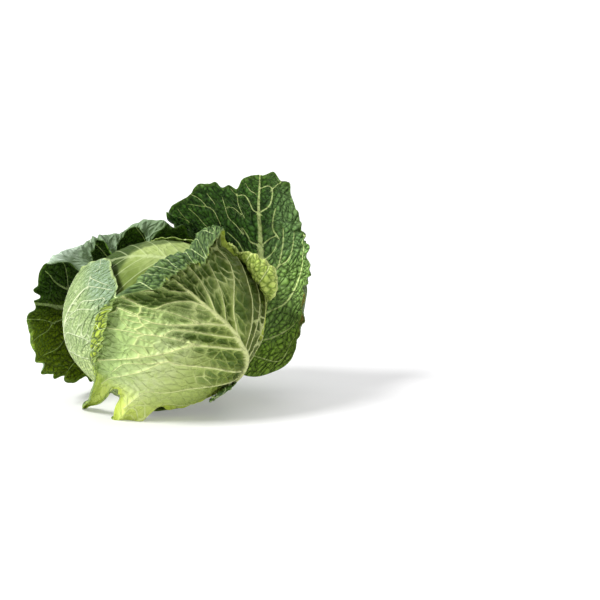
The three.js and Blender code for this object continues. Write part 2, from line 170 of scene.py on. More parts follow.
# Large veins of a leaf, the midrib first: half width at start and end, then chart points. A leaf
# without a list has a midrib and one side vein each side for every row of blisters.
VEINS = {
    "left_wrapper_leaf": [
        (3.5, 0.6, (8, -70), (14, -20), (22, 30), (33, 65), (43, 91)),
        (0.6, 0.4, (22, 30), (36, 42), (60, 45), (75, 42)),
        (0.6, 0.4, (19, 18), (40, 24), (68, 24)),
        (0.7, 0.4, (26, 46), (47, 67), (70, 74)),
        (0.6, 0.4, (47, 70), (50, 77), (64, 82), (73, 87), (77, 84), (70, 74)),
        (0.6, 0.4, (36, 74), (42, 89), (58, 95), (76, 97)),
        (0.5, 0.3, (43, 91), (33, 99), (30, 110), (10, 116)),
        (0.5, 0.3, (35, 98), (53, 100), (68, 101)),
        (0.6, 0.3, (18, 10), (0, 40), (-20, 62)),
        (0.6, 0.3, (22, 30), (8, 60), (-6, 84)),
    ],
    "front_wrapper_leaf": [
        (4.2, 0.5, (-14, -100), (-5, -73), (-2, -55), (-2, -40), (0, -23), (-1, 8), (1, 34),
         (3, 48)),
        (1.1, 0.5, (-3, -11), (-13, 3), (-25, 16), (-35, 29), (-42, 43), (-48, 72)),
        (0.7, 0.3, (-27, 10), (-35, 21), (-44, 25), (-49, 33)),
        (0.9, 0.3, (-4, -26), (-14, -11), (-23, 4), (-28, 13), (-34, 21)),
        (0.6, 0.5, (-32, 0), (-39, 14), (-45, 25), (-54, 39), (-61, 52), (-68, 64)),
        (1.2, 0.6, (-6, -40), (-15, -27), (-31, -4), (-42, 5), (-54, 12), (-70, 24), (-85, 36),
         (-104, 52)),
        (1.2, 0.5, (-14, -68), (-20, -59), (-33, -35), (-43, -19), (-54, -4), (-59, 6), (-77, 12),
         (-96, 20), (-120, 30)),
        (0.7, 0.4, (-59, 6), (-73, 17), (-86, 30), (-102, 31)),
        (1.1, 0.5, (-17, -84), (-42, -56), (-62, -36), (-82, -23), (-96, -10), (-120, -10)),
        (0.9, 0.4, (-30, -92), (-58, -80), (-81, -59), (-93, -43), (-118, -36)),
        (0.8, 0.4, (-2, 11), (-5, 22), (-12, 32), (-21, 40), (-31, 46), (-36, 64), (-38, 78)),
        (0.6, 0.3, (-17, 12), (-20, 20), (-24, 32), (-30, 45)),
        (0.6, 0.3, (0, 30), (-8, 43), (-10, 53), (-16, 62)),
        (0.9, 0.5, (-1, 0), (3, 6), (12, 20), (18, 31), (24, 44), (30, 60)),
        (1.1, 0.5, (-1, -30), (11, -14), (26, -5), (43, 1), (58, 9), (68, 22)),
        (0.6, 0.4, (0, -12), (14, 1), (19, 6), (28, 16), (40, 28)),
        (1.0, 0.5, (-1, -47), (8, -42), (22, -35), (39, -25), (57, -13), (82, -2)),
        (0.9, 0.5, (-2, -55), (8, -50), (21, -45), (45, -38), (65, -30), (88, -22)),
        (0.9, 0.5, (-3, -64), (8, -60), (23, -57), (47, -53), (80, -46)),
        (0.8, 0.4, (-5, -74), (12, -72), (40, -72), (76, -70)),
    ],
    "back_left_leaf": [
        (4.5, 0.9, (8, -90), (24, -40), (38, 0), (52, 37), (57, 66), (64, 110)),
        (1.6, 0.6, (30, -20), (31, 5), (33, 38), (31, 63), (26, 78), (22, 96)),
        (0.9, 0.4, (48, 22), (63, 32), (71, 43), (82, 50), (93, 66), (104, 84)),
        (0.8, 0.4, (40, 6), (60, 16), (85, 23), (99, 34), (116, 60)),
        (0.6, 0.4, (71, 43), (73, 60), (76, 74), (80, 96)),
        (0.6, 0.3, (33, 38), (20, 50), (10, 64), (4, 84)),
        (0.9, 0.4, (20, -45), (0, -10), (-16, 24), (-28, 60)),
        (0.9, 0.4, (14, -65), (-20, -34), (-48, -4), (-66, 26)),
        (0.9, 0.4, (26, -32), (60, -14), (92, -2), (118, 12)),
        (0.8, 0.4, (16, -60), (50, -46), (84, -40)),
    ],
    "back_right_leaf": [
        (4.4, 0.6, (2, -90), (-2, -50), (-1, -20), (2, 7), (5, 19), (8, 38), (12, 57), (14, 81),
         (15, 112)),
        (0.9, 0.4, (12, 56), (18, 59), (22, 67), (28, 76), (36, 76), (43, 82)),
        (1.0, 0.5, (11, 57), (4, 65), (1, 74), (1, 91), (6, 95), (14, 88)),
        (0.5, 0.3, (36, 76), (33, 63), (28, 53), (25, 48)),
        (0.6, 0.3, (26, 32), (32, 38), (40, 45), (45, 56), (50, 70)),
        (0.5, 0.3, (31, 53), (38, 58), (45, 57)),
        (0.5, 0.3, (48, 38), (56, 51), (63, 55), (72, 64), (83, 71)),
        (0.4, 0.3, (63, 55), (73, 56), (85, 59)),
        (0.4, 0.3, (58, 62), (66, 72)),
        (0.5, 0.3, (58, 28), (65, 35), (72, 43), (82, 52)),
        (0.5, 0.3, (80, 30), (87, 41), (93, 50)),
        (0.5, 0.3, (78, 28), (91, 33), (101, 38)),
        (1.2, 0.5, (5, 19), (10, 22), (15, 23), (19, 29), (25, 36)),
        (1.0, 0.5, (5, 20), (-2, 30), (-9, 36)),
        (1.1, 0.5, (2, -4), (13, 4), (20, 11), (27, 20), (38, 28)),
        (0.8, 0.4, (1, 7), (-5, 13), (-9, 21), (-10, 27)),
        (1.0, 0.5, (-9, 36), (-4, 42), (-3, 54), (-4, 66)),
        (1.1, 0.5, (0, -14), (-9, -4), (-15, 5), (-16, 18), (-16, 30), (-14, 46)),
        (0.8, 0.4, (-16, 6), (-24, 15), (-26, 28), (-25, 44)),
        (0.5, 0.3, (20, 82), (24, 85), (29, 94)),
        (0.5, 0.3, (1, 91), (-5, 102), (-10, 112)),
        (1.2, 0.5, (-2, -50), (-18, -38), (-31, -26), (-38, -4), (-40, 20), (-34, 60)),
        (1.1, 0.5, (0, -72), (-22, -66), (-40, -52), (-52, -36), (-58, -10), (-56, 30)),
        (0.9, 0.4, (0, -84), (-24, -86), (-44, -84), (-50, -62), (-60, -52)),
        (0.9, 0.4, (-1, -20), (30, -6), (60, 6), (84, 12)),
        (0.9, 0.4, (-1, -44), (34, -34), (66, -26), (90, -22)),
    ],
}
LEAF_THICKNESS = 1.2
RIM_POWER = 60                            # how late the thickness falls off towards the rim
CHART_RADIUS = 74.0                       # a chart's radius of curvature, without the gap
BOWL_BLEND = 6.0                          # how softly a bowl comes to rest on the leaves below
STEM_TIGHT = (12, 45)                     # degrees from the stem: where the gap starts to
                                          # widen, and over how many it does
BELLY_WIDTH, BELLY_TAPER = 36, 20         # degrees from straight down, and its soft edge
BASE_WIDTH, BASE_TAPER = 45, 40           # degrees round the base that have no loose margin
VEIN_REACH = 12.0                         # how far from a vein its distance is still measured
VEIN_ROOT = 3.0                           # how far a side vein reaches back into its parent
SIDE_VEIN = (0.8, 0.4)                    # half width of a side vein at start and end
SIDE_VEIN_STEPS = (0, 25, 50, 80, 110)    # distances from the midrib of a side vein's points
ROW_BOW_REACH = 40.0                      # past this far out a row of blisters runs straighter
LADDER_VEIN = (0.55, 0.4)                 # half width of a short vein across a curl
LADDER_RADIUS, LADDER_CURL = 62, 16       # reach where the spacing holds, shortest curl with one
LARGE_SPREAD, SMALL_SPREAD = 0.85, 1.0    # how irregular the blisters are, from 0 to 1
LARGE_SLOPE, SMALL_SLOPE = 0.28, 0.4      # width of the blisters' slopes, as a share of a cell
VEIN_SLOPE = 4.0                          # width of the clear slope beside a large vein
EDGE_FADE, RIDGE_FADE = 5.0, 4.0          # blisters and ridges fade out this near the margin
RUFFLE_RADIUS = 100.0                     # reach at which a ruffle's wave has its true length


# ---------------------------------------------------------------- numbers that shape leaves

def ease(x):
    """Zero below 0, one above 1, and 3x^2 - 2x^3 between."""
    t = np.clip(x, 0, 1)
    return t * t * (3 - 2 * t)


def bell(x):
    """The bell curve exp(-x^2)."""
    return np.exp(-np.square(x))


def ellipsoid_reach(direction, size):
    """Distance from the middle of an ellipsoid to its surface along unit directions."""
    return 1 / np.linalg.norm(direction / np.asarray(size, float), axis=-1)


def around(points, angle):
    """Smooth closed curve through (angle, value) points: cubic pieces with averaged slopes."""
    points = sorted(points)
    ring = [(a + turn, v) for turn in (-360, 0, 360) for a, v in points]
    a, v = np.array(ring, float).T
    slope = np.gradient(v) / np.gradient(a)
    angle = np.asarray(angle, float) % 360
    k = np.searchsorted(a, angle, side="right") - 1
    span = a[k + 1] - a[k]
    t = (angle - a[k]) / span
    return ((2 * t**3 - 3 * t**2 + 1) * v[k] + (t**3 - 2 * t**2 + t) * span * slope[k]
            + (3 * t**2 - 2 * t**3) * v[k + 1] + (t**3 - t**2) * span * slope[k + 1])


def angle_window(angle, middle, half, taper):
    """One within half of the middle angle, zero outside, easing over the taper."""
    away = np.abs((np.asarray(angle) - middle + 180) % 360 - 180)
    return ease((half - away) / taper + 0.5)


def drift(x, y, size, seed):
    """Slow random waves: a mean of eight sines in random directions, about one wave per size."""
    total = 0
    for turn, length, phase in np.random.default_rng(seed).random((8, 3)):
        k = 2 * np.pi / (size * (0.7 + 0.6 * length))
        across = x * np.cos(2 * np.pi * turn) + y * np.sin(2 * np.pi * turn)
        total = total + np.sin(k * across + 2 * np.pi * phase)
    return total / 8**0.5 / 1.2


def cell_hash(*keys):
    """Whole number hash of two or three keys, the same one as the Voronoi Texture node's."""
    start = np.full(keys[0].shape, (0xDEADBEEF + (len(keys) << 2) + 13) & 0xFFFFFFFF, np.uint32)
    parts = [start + (keys[2] if len(keys) > 2 else np.uint32(0)), start + keys[0], start + keys[1]]
    for step, bits in enumerate((14, 11, 25, 16, 4, 14, 24)):
        into, source = step % 3, parts[(step + 2) % 3]
        turned = (source << np.uint32(bits)) | (source >> np.uint32(32 - bits))
        parts[into] = (parts[into] ^ source) - turned
    return parts[0]


def cell_walls(u, v, randomness):
    """Distance to the nearest wall of Voronoi cells, as the Voronoi Texture node measures it.

    Each unit square holds one random seed; a wall is half way between the nearest seed and
    another, so the distance is the projection of their middle on the line between them.
    """
    here = np.stack([u, v], -1)
    square = np.floor(here)
    one = np.float32(1).view(np.uint32)
    seeds = []
    for i in (-1, 0, 1):
        for j in (-1, 0, 1):
            key = (square + (i, j)).astype(np.float32).view(np.uint32)
            jitter = np.stack([cell_hash(key[..., 0], key[..., 1]),
                               cell_hash(key[..., 0], key[..., 1], np.full(u.shape, one))], -1)
            seeds.append(square - here + (i, j) + jitter / 0xFFFFFFFF * randomness)
    seeds = np.stack(seeds)
    nearest = np.take_along_axis(
        seeds, np.argmin((seeds**2).sum(-1), 0)[None, ..., None], 0)
    apart = seeds - nearest
    length = np.sqrt((apart**2).sum(-1))
    wall = ((seeds + nearest) / 2 * apart).sum(-1) / np.maximum(length, 1e-9)
    return np.where(length > 0.01, wall, 9.0).min(0)


def smooth_line(points, steps=4):
    """Catmull-Rom curve through the points, each span cut into equal steps."""
    p = np.array(points, float)
    p = np.concatenate([2 * p[:1] - p[1:2], p, 2 * p[-1:] - p[-2:-1]])
    a, b, c, d = p[:-3, None], p[1:-2, None], p[2:-1, None], p[3:, None]
    t = np.linspace(0, 1, steps, endpoint=False)[None, :, None]
    line = (2 * b + (c - a) * t + (2 * a - 5 * b + 4 * c - d) * t**2
            + (3 * b - a - 3 * c + d) * t**3) / 2
    return np.concatenate([line.reshape(-1, 2), p[-2:-1]])


def nearest_vein(veins, x, y):
    """Signed distance to the nearest vein's line, the plain distance and its half width there.

    Each vein is a run of short straight pieces; the nearest is the one whose edge is nearest.
    The sign tells the two sides of a vein apart and turns over on side veins, so that it
    stays the same in the fork between midrib and side vein.
    """
    here = np.stack([x.ravel(), y.ravel()], -1)
    found = np.tile([VEIN_REACH, VEIN_REACH, 0.5], (len(here), 1))
    for order, (base, tip, *points) in enumerate(veins):
        if order:
            start, step = np.array(points[0]), unit(np.subtract(points[1], points[0]))
            points = [tuple(start - VEIN_ROOT * step), *points]
        line = smooth_line(points)
        close = ((here > line.min(0) - VEIN_REACH) & (here < line.max(0) + VEIN_REACH)).all(1)
        part, best = here[close], found[close]
        for k, (start, step) in enumerate(zip(line[:-1], np.diff(line, axis=0))):
            away = part - start
            t = np.clip(away @ step / (step @ step), 0, 1)
            distance = np.hypot(*(away - t[:, None] * step).T)
            half = base + (tip - base) * (k + t) / (len(line) - 1)
            side = np.sign(step[0] * away[:, 1] - step[1] * away[:, 0]) * (-1 if order else 1)
            nearer = distance - half < best[:, 1] - best[:, 2]
            best = np.where(nearer[:, None], np.stack([distance * side, distance, half], -1), best)
        found[close] = best
    return (part.reshape(x.shape) for part in found.T)


class Leaf:
    """One leaf: its chart on the head, its outline and the formulas that bend it."""

    def __init__(self, name, spec):
        self.spec = spec
        self.gap, self.tight = spec["gap"], spec["tight"]
        if "bowl" in spec:
            self.centre, self.size = (np.array(v, float) for v in spec["bowl"])
            self.middle = unit(spec["looks"])
            on_stem = ellipsoid_reach(STEM, HEART_SIZE) + self.gap * self.tight
            anchor = unit(STEM * on_stem - self.centre)
            self.scale = ellipsoid_reach(self.middle, self.size)
        else:
            from_stem, turn = np.radians(spec["faces"])
            self.centre = np.zeros(3)
            self.middle = (np.cos(from_stem) * STEM
                           + np.sin(from_stem) * (np.cos(turn) * FRONT + np.sin(turn) * SIDE))
            anchor = STEM
            self.scale = CHART_RADIUS + self.gap
        self.up = unit((anchor @ self.middle) * self.middle - anchor)
        self.right = np.cross(self.up, self.middle)
        self.base = np.arccos(anchor @ self.middle) * self.scale - BASE_RADIUS
        self.outline = spec["outline"] + [(180, self.base)]
        self.veins = (VEINS.get(name) or self.feather()) + self.ladder()

    def feather(self):
        """Midrib and a side vein each side for every row, which follows the row's curve."""
        at, slant, _, half_base, half_tip, end = self.spec["ribs"]
        first, spacing, *sides, bow, _ = self.spec["rows"]
        veins = [(half_base, half_tip, (at - slant * self.base, -self.base), (at, 0),
                  (at + slant * end, end))]
        out = np.array(SIDE_VEIN_STEPS)
        for y in np.arange(first, end, spacing):
            for side, (lean, fan) in zip((-1, 1), sides):
                rise = y + (lean + fan * y) * out + bow * out**2 / (1 + out / ROW_BOW_REACH)
                across = at + slant * rise + side * out
                veins.append((*SIDE_VEIN, *zip(across, rise)))
        return veins

    def ladder(self):
        """Short veins straight across the curl, a little bent, wherever it is long enough."""
        if "ladder" not in self.spec:
            return []
        steps = np.arange(0, 360, np.degrees(self.spec["ladder"] / LADDER_RADIUS))
        steps = steps[self.margin(steps) - self.crest(steps) > LADDER_CURL]
        veins = []
        for count, angle in enumerate(steps):
            bend = np.array([0, 2, -1, 4]) * (-1)**count
            reach = self.crest(angle) + np.array([-6, 6, 16, 40]) + 2 * np.sin(5 * count)
            turn = np.radians(angle + bend)
            veins.append((*LADDER_VEIN, *zip(reach * np.sin(turn), reach * np.cos(turn))))
        return veins

    def free(self, angle):
        """One round the free margin, easing to zero at the base."""
        return 1 - angle_window(angle, 180, BASE_WIDTH, BASE_TAPER)

    def crest(self, angle):
        """Reach of the blade to where its margin starts to curl."""
        return around(self.outline, angle)

    def margin(self, angle):
        """Reach of the whole leaf: blade and curl, plus lobes and teeth as |sin| of the angle."""
        reach = self.crest(angle)
        if "curl" in self.spec:
            reach = reach + np.maximum(around(self.spec["curl"]["length"], angle), 0)
        deep, teeth = self.spec["lobes"]
        turn = np.radians(angle)
        lobe = np.abs(np.sin(11 * turn + 1.4 * np.sin(3 * turn + 1) + 0.6))
        tooth = np.abs(np.sin(37 * turn + 2 * np.sin(7 * turn) + 1))
        return reach + self.free(angle) * (deep * (lobe - 0.7) + teeth * (tooth - 0.7))

    def layer(self, direction):
        """Layer over the heart: its ellipsoid plus the gap, which narrows at the stem."""
        from_stem = np.degrees(np.arccos(np.clip(direction @ STEM, -1, 1)))
        from_down = np.degrees(np.arccos(np.clip(-direction[..., 2], -1, 1)))
        start, width = STEM_TIGHT
        share = self.tight + (1 - self.tight) * ease((from_stem - start) / width)
        sag = self.spec.get("belly", 0) * ease((BELLY_WIDTH - from_down) / BELLY_TAPER)
        return ellipsoid_reach(direction, HEART_SIZE) + self.gap * share + sag

    def blade(self, x, y):
        """Chart to space: great-circle steps from the blade's middle, out to layer or bowl.

        Height h over the layer becomes (h + sqrt(h^2 + blend^2)) / 2, so a bowl never dips in.
        """
        reach = np.hypot(x, y) + 1e-9
        angle = reach / self.scale
        direction = (np.cos(angle)[..., None] * self.middle
                     + (np.sin(angle) / reach)[..., None]
                     * (x[..., None] * self.right + y[..., None] * self.up))
        if "bowl" not in self.spec:
            return direction * self.layer(direction)[..., None]
        free = self.centre + direction * ellipsoid_reach(direction, self.size)[..., None]
        distance = np.linalg.norm(free, axis=-1)
        out = free / distance[..., None]
        low = self.layer(out)
        above = distance - low
        return out * (low + (above + np.sqrt(above**2 + BOWL_BLEND**2)) / 2)[..., None]

    def blade_frame(self, x, y, tx, ty):
        """Blade point, tangent along (tx, ty), tangent across and outward normal."""
        step = 0.5
        point = self.blade(x, y)
        along = unit(self.blade(x + step * tx, y + step * ty)
                     - self.blade(x - step * tx, y - step * ty))
        across = unit(self.blade(x - step * ty, y + step * tx)
                      - self.blade(x + step * ty, y - step * tx))
        normal = unit(np.cross(across, along))
        facing = np.sign((normal * (point - self.centre)).sum(-1, keepdims=True))
        return point, along, across, normal * facing

    def surface(self, angle, share):
        """Middle surface at a chart angle and a share of the way from the middle to the margin.

        The blade is followed to the crest. Past a fold line it leaves on an inward arc, past
        the crest it rolls on an arc of the curl's radius and then runs straight. Drooping
        lobes are added last, with the margin's slow wave: three sines of the angle, times the
        fifth power of the share.
        """
        crest, margin = self.crest(angle), self.margin(angle)
        reach = np.maximum(share * margin, 1e-6)
        turn = np.radians(angle)
        sine, cosine = np.sin(turn), np.cos(turn)
        flat = np.minimum(reach, crest)
        x, y = flat * sine, flat * cosine
        point, along, across, normal = self.blade_frame(x, y, sine, cosine)
        if "fold" in self.spec:
            fold = self.spec["fold"]
            line = fold["at"] + fold["slope"] * y
            start = self.blade_frame(line, y, -np.ones_like(x), np.zeros_like(x))
            upward = start[2] * np.sign(start[2] @ self.up)[..., None]
            bent, forward, bent_normal = roll_off(
                start, line - x, fold["radius"], fold["turn"], INWARD)
            forward = unit(-sine[..., None] * forward + cosine[..., None] * upward)
            past = (x < line)[..., None]
            point = np.where(past, bent, point)
            along = np.where(past, forward, along)
            normal = np.where(past, bent_normal, normal)
        if "curl" in self.spec:
            curl = self.spec["curl"]
            point, along, normal = roll_off(
                (point, along, across, normal), reach - crest,
                around(curl["radius"], angle), curl["turn"], curl["side"])
        for middle, half, taper, begin, shift in self.spec.get("droops", []):
            amount = (angle_window(angle, middle, half, taper)
                      * ease((reach - begin) / np.maximum(margin - begin, 1)))
            point = point + amount[..., None] * np.array(shift, float)
        height, waves = self.spec["frill"]
        wave = (np.sin(waves * turn + 1) + 0.6 * np.sin((waves + 6) * turn + 2.5)
                + 0.4 * np.sin((2 * waves + 5) * turn + 4))
        lift = height * (reach / margin)**5 * self.free(angle) * wave
        return point + lift[..., None] * normal, reach, margin


def roll_off(start, over, radius, turn, side):
    """Leaves a surface on a circular arc up to the full turn, then runs straight on.

    At angle a on the arc the way forward is radius sin a, and sideways radius (1 - cos a).
    """
    point, along, _, normal = start
    over = np.maximum(over, 0)
    angle = np.minimum(over / radius, np.radians(turn))
    rest = over - angle * radius
    forward = radius * np.sin(angle) + rest * np.cos(angle)
    sideways = side * (radius * (1 - np.cos(angle)) + rest * np.sin(angle))
    cosine, sine = np.cos(angle)[..., None], side * np.sin(angle)[..., None]
    return (point + forward[..., None] * along + sideways[..., None] * normal,
            cosine * along + sine * normal, cosine * normal - sine * along)


def disc_grid(n):
    """Square grid squeezed into a disc: x = u sqrt(1 - v^2/2), y = v sqrt(1 - u^2/2)."""
    u, v = np.meshgrid(np.linspace(-1, 1, n), np.linspace(-1, 1, n), indexing="ij")
    x, y = u * np.sqrt(1 - v * v / 2), v * np.sqrt(1 - u * u / 2)
    return u, v, np.degrees(np.arctan2(x, y)), np.minimum(np.hypot(x, y), 1)


def blister_rows(leaf, x, y):
    """Places that count large blisters: across the rows, and along them.

    Rows leave the midrib at height y0 and rise with the distance s from it:
    y = y0 + (lean + fan y0) s + bow s^2 / (1 + s / reach of the bow). Slow random waves of 1
    to 4 mm keep them from being regular.
    """
    at, slant, curve, _, _, _ = leaf.spec["ribs"]
    first, spacing, left, right, bow, rows = leaf.spec["rows"]
    rib_x = x - at - slant * y - curve * np.minimum(y, 0)**2 + 1.2 * drift(y, y * 0, 60, 9)
    side = np.abs(rib_x)
    lean, fan = (np.where(rib_x > 0, b, a) for a, b in zip(left, right))
    wander = 3.5 * drift(x, y, 45, 5)
    bowed = bow * side**2 / (1 + side / ROW_BOW_REACH)
    start = (y + wander - lean * side - bowed) / (1 + fan * side)
    length = rib_x * np.hypot(1, lean) + 1.5 * drift(x, y, 30, 7)
    return (start - first) / spacing * rows, length / leaf.spec["cell"]


def puffed(wall, width):
    """Blister height 1 - (1 - wall / width)^2: a sharp kink at the wall, flat beyond width."""
    return 1 - (1 - np.clip(wall / width, 0, 1))**2


def relief(leaf, x, y, edge, over):
    """Heights over the smooth leaf, in millimetres: blisters towards the inner side, and
    raised veins on the outer side. Over is the way past the crest, where a curl begins.

    Large blisters lie in rows, small ones on a plain slightly bent square lattice. Both die
    out at the large veins, which stay on the smooth surface. On a curl the small ones take
    over. A raised vein is a bell curve across it, higher where the vein is wider.
    """
    across, along = blister_rows(leaf, x, y)
    fine = leaf.spec["fine"]
    fine_x = (x + 1.5 * drift(x, y, 25, 21)) / fine
    fine_y = (y + 1.5 * drift(x, y, 25, 22)) / fine
    signed, distance, half = nearest_vein(leaf.veins, x, y)
    clear = puffed(distance - 0.7 * half, VEIN_SLOPE)
    low, high, share_low, share_high = leaf.spec.get("deep", (-1, 1, 1, 1))
    share = share_low + (share_high - share_low) * ease((x - low) / (high - low))
    large, small, on_curl = leaf.spec["puff"]
    curled = ease(over / 5)
    lively = 0.85 + 0.35 * drift(x, y, 45, 11)
    large_dome = puffed(cell_walls(across, along, LARGE_SPREAD) - 0.05, LARGE_SLOPE)
    small_dome = puffed(cell_walls(fine_x, fine_y, SMALL_SPREAD), SMALL_SLOPE)
    puff = lively * clear * (
        large * share * (1 - 0.7 * curled) * (0.2 + 0.8 * large_dome)
        + (small * share + (on_curl - small * share) * curled) * small_dome)
    raised = leaf.spec["ridge"] * (0.6 + 0.4 * half) * bell(distance / (1.0 + 0.9 * half))
    marks = {"veins": (signed, distance, half), "rows": (across, along, edge),
             "fine": (fine_x, fine_y, puff / max(leaf.spec["puff"]))}
    return puff * ease(edge / EDGE_FADE), raised * ease(edge / RIDGE_FADE), marks


def soften(field, rounds):
    """Each grid value becomes a mean of itself, counted twice, and its four neighbours."""
    for _ in range(rounds):
        wide = np.pad(field, ((1, 1), (1, 1), (0, 0)), mode="edge")
        field = (2 * field + wide[:-2, 1:-1] + wide[2:, 1:-1] + wide[1:-1, :-2]
                 + wide[1:-1, 2:]) / 6
    return field


def grid_quads(grid, turned):
    """The four corners of every square of a grid, in the other order where it is turned."""
    quads = np.stack([grid[:-1, :-1], grid[1:, :-1], grid[1:, 1:], grid[:-1, 1:]], 2)
    quads = quads.reshape(-1, 4, *grid.shape[2:])
    return quads[:, ::-1] if turned else quads


def leaf_mesh(name):
    """Closed leaf: outer and inner sides on one disc grid, meeting in a rounded rim.

    The thickness falls to zero at the rim as the square root of 1 - share^power. Blisters puff
    to the inner side, veins rise on the outer side, and nothing goes below the table. The UV
    map has the outer side on the left half of the square and the inner side on the right.
    """
    leaf = Leaf(name, LEAVES[name])
    n = leaf.spec["grid"]
    u, v, angle, share = disc_grid(n)
    point, reach, margin = leaf.surface(angle, share)
    normal = unit(soften(np.cross(np.gradient(point, axis=0), np.gradient(point, axis=1)), 4))
    facing = np.sign(normal[n // 2, n // 2] @ (point[n // 2, n // 2] - leaf.centre))
    normal = normal * facing
    x, y = reach * np.sin(np.radians(angle)), reach * np.cos(np.radians(angle))
    edge = margin - reach
    puff, raised, marks = relief(leaf, x, y, edge, reach - leaf.crest(angle))
    puff = soften(puff[..., None], 1)[..., 0]
    height, length, depth = leaf.spec["ruffle"]
    arc = np.radians(angle) * RUFFLE_RADIUS
    ruffle = (np.sin(2 * np.pi * arc / length + 3 * drift(x, y, 70, 3))
              * bell(edge / depth) * leaf.free(angle) * height * (0.8 + 0.5 * drift(x, y, 50, 4)))
    middle = point + (ruffle - puff)[..., None] * normal
    thick = LEAF_THICKNESS * np.sqrt(np.maximum(1 - share**RIM_POWER, 0))
    outer = middle + (thick / 2 + raised * (share < 1))[..., None] * normal
    inner = middle - (thick / 2)[..., None] * normal
    inner[..., 2] = np.maximum(inner[..., 2], TABLE + thick)
    top = np.arange(n * n).reshape(n, n)
    bottom = top.copy()
    inside = np.s_[1:-1, 1:-1]
    bottom[inside] = n * n + np.arange((n - 2)**2).reshape(n - 2, n - 2)
    outer[np.s_[[0, -1], :]] = middle[np.s_[[0, -1], :]]
    outer[np.s_[:, [0, -1]]] = middle[np.s_[:, [0, -1]]]
    outer[..., 2] = np.maximum(outer[..., 2], TABLE)
    points = np.concatenate([outer.reshape(-1, 3), inner[inside].reshape(-1, 3)])
    faces = [grid_quads(top, facing < 0), grid_quads(bottom, facing > 0)]
    piece = add_mesh(name, points, np.concatenate(faces))
    marks["chart"] = (x, y, share)
    for title, parts in marks.items():
        whole = np.stack(parts, -1)
        values = np.concatenate([whole.reshape(-1, 3), whole[inside].reshape(-1, 3)])
        layer = piece.data.attributes.new(title, "FLOAT_VECTOR", "POINT")
        layer.data.foreach_set("vector", values.astype(np.float32).ravel())
    under = piece.data.attributes.new("inner_side", "FLOAT", "FACE")
    under.data.foreach_set("value", np.repeat([0, 1], len(faces[0])).astype(np.float32))
    sheets = [np.stack([middle_u + 0.24 * u, 0.5 + 0.49 * v], -1) for middle_u in (0.25, 0.75)]
    flat = [grid_quads(sheets[0], facing < 0), grid_quads(sheets[1], facing > 0)]
    layer = piece.data.uv_layers.new(name="OFBake")
    layer.data.foreach_set("uv", np.concatenate(flat).astype(np.float32).ravel())
    return piece


def add_mesh(name, points, faces):
    """A smooth-shaded mesh of quads at the origin, its points given around the heart."""
    mesh = bpy.data.meshes.new(name + "_skin")
    mesh.vertices.add(len(points))
    placed = np.asarray(points) / 1000 + np.array(HEART_MIDDLE)
    mesh.vertices.foreach_set("co", placed.astype(np.float32).ravel())
    mesh.loops.add(faces.size)
    mesh.loops.foreach_set("vertex_index", faces.astype(np.int32).ravel())
    mesh.polygons.add(len(faces))
    mesh.polygons.foreach_set("loop_start", np.arange(0, faces.size, 4, dtype=np.int32))
    mesh.polygons.foreach_set("use_smooth", np.ones(len(faces), bool))
    mesh.update(calc_edges=True)
    mesh.validate()
    piece = bpy.data.objects.new(name + "_skin", mesh)
    bpy.context.scene.collection.objects.link(piece)
    return piece


# ---------------------------------------------------------------- heart and stem

def ring_faces(rows, columns):
    """Quads between rings of points, and four-cornered caps that meet in two poles.

    The poles are the two points after the rings. A cap takes ring points in pairs.
    """
    at = np.arange(rows * columns).reshape(rows, columns)
    after = np.roll(at, -1, axis=1)
    quads = np.stack([at[:-1], at[1:], after[1:], after[:-1]], -1).reshape(-1, 4)
    pair, between, following = at[:, ::2], after[:, ::2], np.roll(at[:, ::2], -1, axis=1)
    pole = np.full(columns // 2, rows * columns)
    first = np.stack([pair[0], between[0], following[0], pole], -1)
    last = np.stack([following[-1], between[-1], pair[-1], pole + 1], -1)
    return np.concatenate([quads, first, last])


def heart_mesh(rows, columns):
    """Ball of tight leaves: the heart's ellipsoid with broad soft folds running to the top.

    Its radius is the ellipsoid's, less the inset and plus slow sine waves round the axis.
    """
    inset, wave, radius = 1.5, 0.5, 75
    down, turn = np.meshgrid(np.linspace(0, np.pi, rows + 1)[1:-1],
                             np.arange(columns) * 2 * np.pi / columns, indexing="ij")
    direction = np.stack([np.sin(down) * np.cos(turn), np.sin(down) * np.sin(turn),
                          np.cos(down)], -1)
    fold = np.sin(5 * turn + 2 * down) + 0.5 * np.sin(11 * turn - 3 * down)
    size = 1 - (inset - wave * fold * np.sin(down)) / radius
    ring = direction * HEART_SIZE * size[..., None]
    pole = HEART_SIZE[2] * (1 - inset / radius)
    points = np.concatenate([ring.reshape(-1, 3), [[0, 0, pole], [0, 0, -pole]]])
    return add_mesh("heart", points, ring_faces(rows - 1, columns))


